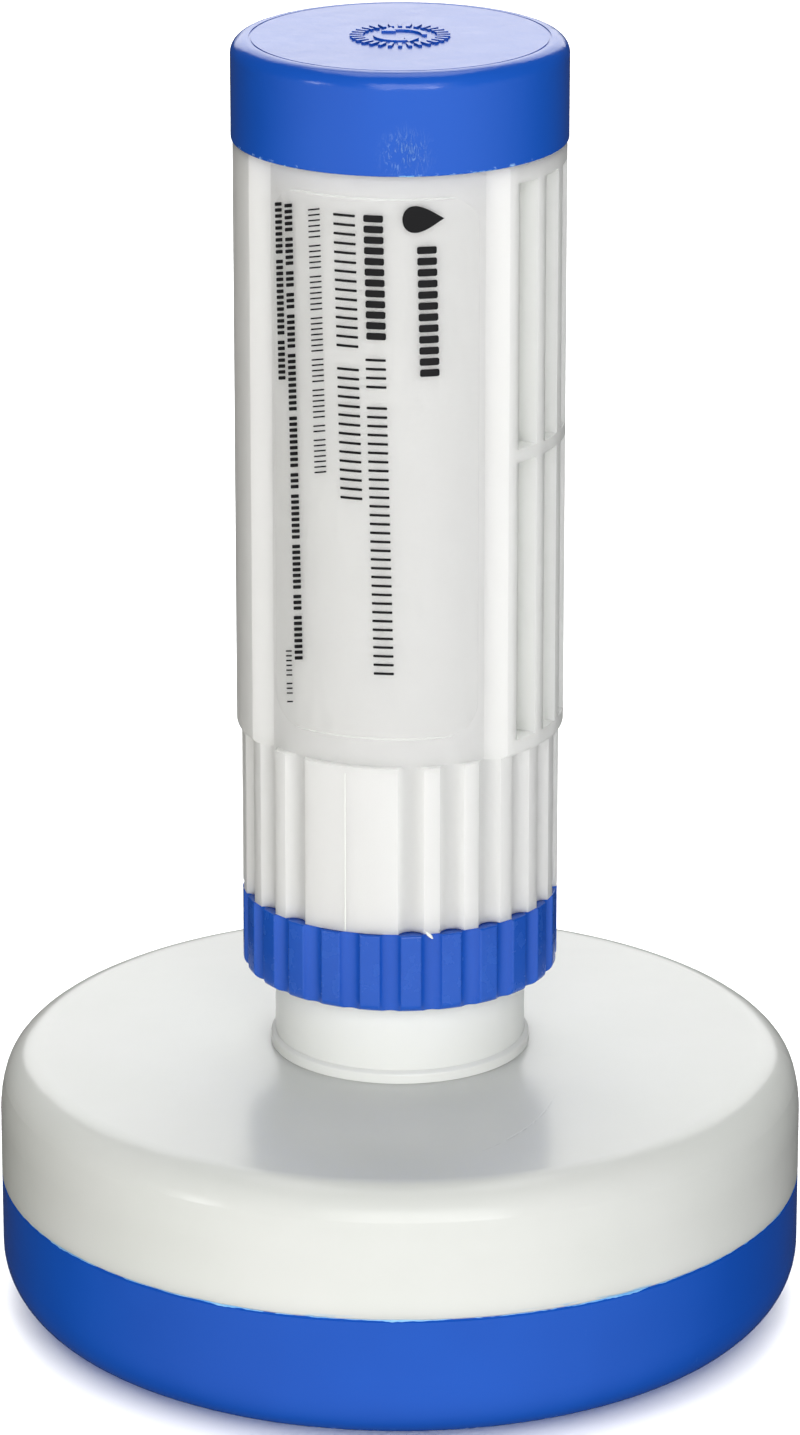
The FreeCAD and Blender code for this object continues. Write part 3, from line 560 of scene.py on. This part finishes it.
def printed_block(work):
    """Rows of plain ticks in place of words, and a water drop in place of a mark."""
    for azimuth, width, top, slant, thick, gap, groups, pause in PRINT_LINES:
        middle = FILM_RADIUS * math.radians(azimuth)
        length = sum(groups) * (thick + gap) + (len(groups) - 1) * pause
        spot = top
        for ticks in groups:
            for _ in range(ticks):
                lean = (top - spot - length / 2) * PRINT_LEAN * MM
                wrapped(work, tick_outline(middle + lean, width * MM, spot * MM,
                                           (spot - thick) * MM, slant * MM))
                spot -= thick + gap
            spot -= pause
    drop = []
    for step in range(DROP_CORNERS):
        angle = math.tau * step / DROP_CORNERS
        girth = DROP_GIRTH * math.sin(angle) * math.sin(angle / 2) ** DROP_TAPER
        drop.append((DROP_ROUND + DROP_REACH * math.cos(angle), DROP_HEIGHT + girth))
    wrapped(work, drop)


label_print = piece("label_print", printed_block, INK, "sleeve", smooth=False)
ink_depth = label_print.modifiers.new("ink_depth", "SOLIDIFY")
ink_depth.thickness = 0.015 * MM


LINE_STEPS = 60
LINE_WIDTH = 0.25 * MM
LINE_RISE = 0.035 * MM
LINE_PROFILE = [(-0.5, -0.5), (-0.3, 0.6), (0.0, 1.0), (0.3, 0.6), (0.5, -0.5), (0.0, -1.5)]


def parting_line(azimuth):
    """A hair-fine raised line up the sleeve's grip, as two mould halves leave."""
    low = sleeve_low.z + 0.2 * MM
    high = GRIP_TOP - 1.0 * MM

    def build(work):
        rings = []
        for step in range(LINE_STEPS + 1):
            height = low + (high - low) * step / LINE_STEPS
            wander = 0.6 + 0.4 * noise.noise(Vector((azimuth, height * 900, 2)))
            rings.append([polar(GRIP_RADIUS + LINE_RISE * up * (wander if up > 0 else 1),
                                azimuth + math.degrees(side * LINE_WIDTH / GRIP_RADIUS), height)
                          for side, up in LINE_PROFILE])
        loft(work, rings)
    return build


for side, azimuth in (("front", -20), ("back", 160)):
    piece(f"parting_line_{side}", parting_line(azimuth), TRIM_WHITE, "sleeve")


BURR_STEPS = 8
BURR_SIDES = 8
BURR_WIDTH = 0.75 * MM
BURR_HALF_DEPTH = 0.12 * MM
BURR_AZIMUTH = 9.4
BURR_SWEEP = 2.2
BURR_START = 0.45 * MM  # above the sleeve's lower edge
BURR_LENGTH = 1.25 * MM


def gate_burr(work):
    """A scrap of flash that hangs from the sleeve's lower edge."""
    rings = []
    for step in range(BURR_STEPS + 1):
        share = step / BURR_STEPS
        width = BURR_WIDTH * math.sin(math.pi * (0.10 + 0.80 * share))
        azimuth = BURR_AZIMUTH + BURR_SWEEP * share
        height = sleeve_low.z + BURR_START - BURR_LENGTH * share
        ring = []
        for corner in range(BURR_SIDES):
            angle = math.tau * corner / BURR_SIDES
            spot = azimuth + math.degrees(width * math.cos(angle) / 2 / GRIP_RADIUS)
            out = BURR_HALF_DEPTH * math.sin(angle) + 0.10 * MM
            ring.append(polar(GRIP_RADIUS - 0.05 * MM + out, spot, height))
        rings.append(ring)
    loft(work, rings)


piece("sleeve_gate_burr", gate_burr, TRIM_WHITE, "sleeve")


FOOT_RECESS = 1.0 * MM  # depth of the float's underside
MARK_STEPS = 48
MARK_PROFILE = [(1.0, 0.0), (0.97, 0.75), (0.86, 1.0), (0.72, 0.85), (0.25, 0.7)]
PIN_COUNT = 4
PIN_RING = 27 * MM


def foot_marks(work):
    """Under the foot: the sprue's cut stub and the rings that four ejector pins leave."""
    spots = [(Vector((0, 0, 0)), 2.4 * MM, 0.55 * MM)]
    for number in range(PIN_COUNT):
        place = polar(PIN_RING, 45 + number * 360 / PIN_COUNT, 0)
        spots.append((place, 3.2 * MM, 0.08 * MM))
    for place, radius, rise in spots:
        rings = []
        for share, up in MARK_PROFILE:
            angles = [math.tau * step / MARK_STEPS for step in range(MARK_STEPS)]
            rings.append([(place.x + radius * share * math.cos(angle),
                           place.y + radius * share * math.sin(angle),
                           FOOT_RECESS + 0.01 * MM - rise * up) for angle in angles])
        loft(work, rings)


piece("foot_mould_marks", foot_marks, FLOAT_BLUE, "float_base")

# ------------------------------------------------------------------ stage, light and camera

floor_shader = Shader("studio_floor")
pale = floor_shader.mix(floor_shader.ramp(floor_shader.noise(3, detail=2), 0.3, 0.7),
                        (0.90, 0.90, 0.90), (0.88, 0.88, 0.88))
floor_shader.feed(floor_shader.surface, Base_Color=pale)
floor_shader.uniform(Roughness=0.9, Specular_IOR_Level=0.1)

FLOOR_HALF = 8.0
FLOOR_CORNERS = [(-1, -1), (1, -1), (1, 1), (-1, 1)]
floor_mesh = bpy.data.meshes.new("studio_floor")
floor_mesh.from_pydata([(x * FLOOR_HALF, y * FLOOR_HALF, 0) for x, y in FLOOR_CORNERS], [],
                       [(0, 1, 2, 3)])
floor_mesh.materials.append(floor_shader.material)
floor = bpy.data.objects.new("studio_floor", floor_mesh)
floor.location.z = float_low.z - 0.05 * MM
bpy.context.scene.collection.objects.link(floor)
# the floor is only a backdrop: it neither shows in the plastics nor tints them
floor.visible_glossy = False
floor.visible_diffuse = False
floor.visible_transmission = False
floor.visible_shadow = False


def soft_light(name, place, target, width, height, radiance):
    """A rectangular softbox; radiance is what a mirror would show of it."""
    light = bpy.data.lights.new(name, "AREA")
    light.shape = "RECTANGLE"
    light.size = width
    light.size_y = height
    light.energy = radiance * math.pi * width * height
    light.spread = math.pi
    made = bpy.data.objects.new(name, light)
    made.location = place
    made.rotation_euler = (Vector(target) - Vector(place)).to_track_quat("-Z", "Y").to_euler()
    bpy.context.scene.collection.objects.link(made)
    return made


# name, place, target, width, height, radiance
for lamp in (
    ("key_softbox", (0.15, -1.75, 0.80), (0, 0, 0.10), 1.5, 1.1, 4.15),
    ("top_panel", (0.0, 0.45, 1.45), (0, 0, 0.05), 0.9, 0.9, 2.9),
    ("back_panel", (0.0, 1.9, 1.05), (0, 0, 0.30), 1.9, 1.5, 2.35),
    ("right_kicker", (0.80, -1.80, 0.50), (0, 0, 0.20), 0.34, 0.26, 9.0),
    ("left_kicker", (-1.50, -0.97, 0.48), (0, 0, 0.20), 0.34, 0.24, 12.0),
):
    soft_light(*lamp)
table_light = soft_light("table_light", (0.0, 0.0, 4.0), (0, 0.001, 0), 9.0, 9.0, 2.1)
table_only = bpy.data.collections.new("table_only")
table_only.objects.link(floor)
table_light.light_linking.receiver_collection = table_only

# the studio round the object: bright below and in front, dim behind, a little warm on the left
world = bpy.data.worlds.new("studio")
world.use_nodes = True
sky = world.node_tree
direction = sky.nodes.new("ShaderNodeTexCoord").outputs["Generated"]
apart = sky.nodes.new("ShaderNodeSeparateXYZ")
sky.links.new(direction, apart.inputs[0])


def sky_ramp(axis, from_min, from_max, to_min, to_max, smooth=True):
    """A ramp along one axis of the sky."""
    made = sky.nodes.new("ShaderNodeMapRange")
    made.interpolation_type = "SMOOTHSTEP" if smooth else "LINEAR"
    for key, number in (("From Min", from_min), ("From Max", from_max),
                        ("To Min", to_min), ("To Max", to_max)):
        made.inputs[key].default_value = number
    sky.links.new(apart.outputs[axis], made.inputs["Value"])
    return made.outputs["Result"]


SKY_FLOOR = 0.045  # the least light from any side
strength = sky.nodes.new("ShaderNodeMath")
strength.operation = "MULTIPLY_ADD"
sky.links.new(sky_ramp("Y", 0.40, -0.95, 0.0, 1.0), strength.inputs[0])
sky.links.new(sky_ramp("Z", 0.25, -0.15, 0.22, 1.05), strength.inputs[1])
strength.inputs[2].default_value = SKY_FLOOR
tone = sky.nodes.new("ShaderNodeMix")
tone.data_type = "RGBA"
neutral, warm = (socket for socket in tone.inputs if socket.type == "RGBA")
neutral.default_value = (1, 1, 1, 1)
warm.default_value = (1, 0.97, 0.88, 1)
sky.links.new(sky_ramp("X", 0.2, -0.8, 0.0, 1.0, smooth=False), tone.inputs[0])
tone_out = next(socket for socket in tone.outputs if socket.type == "RGBA")
sky.links.new(tone_out, sky.nodes["Background"].inputs["Color"])
sky.links.new(strength.outputs["Value"], sky.nodes["Background"].inputs["Strength"])
bpy.context.scene.world = world

CAMERA_PITCH = 18.66  # degrees that the camera looks down
camera_data = bpy.data.cameras.new("camera")
camera_data.lens = 171.1
camera_data.sensor_width = 36.0
camera_data.sensor_fit = "AUTO"
camera_data.clip_start = 0.05
camera_data.clip_end = 20.0
camera = bpy.data.objects.new("camera", camera_data)
camera.location = (0.0, -1.0103, 0.4379)
camera.rotation_euler = (math.radians(90 - CAMERA_PITCH), 0, 0)
bpy.context.scene.collection.objects.link(camera)
bpy.context.scene.camera = camera
bpy.context.scene.view_settings.view_transform = "Standard"
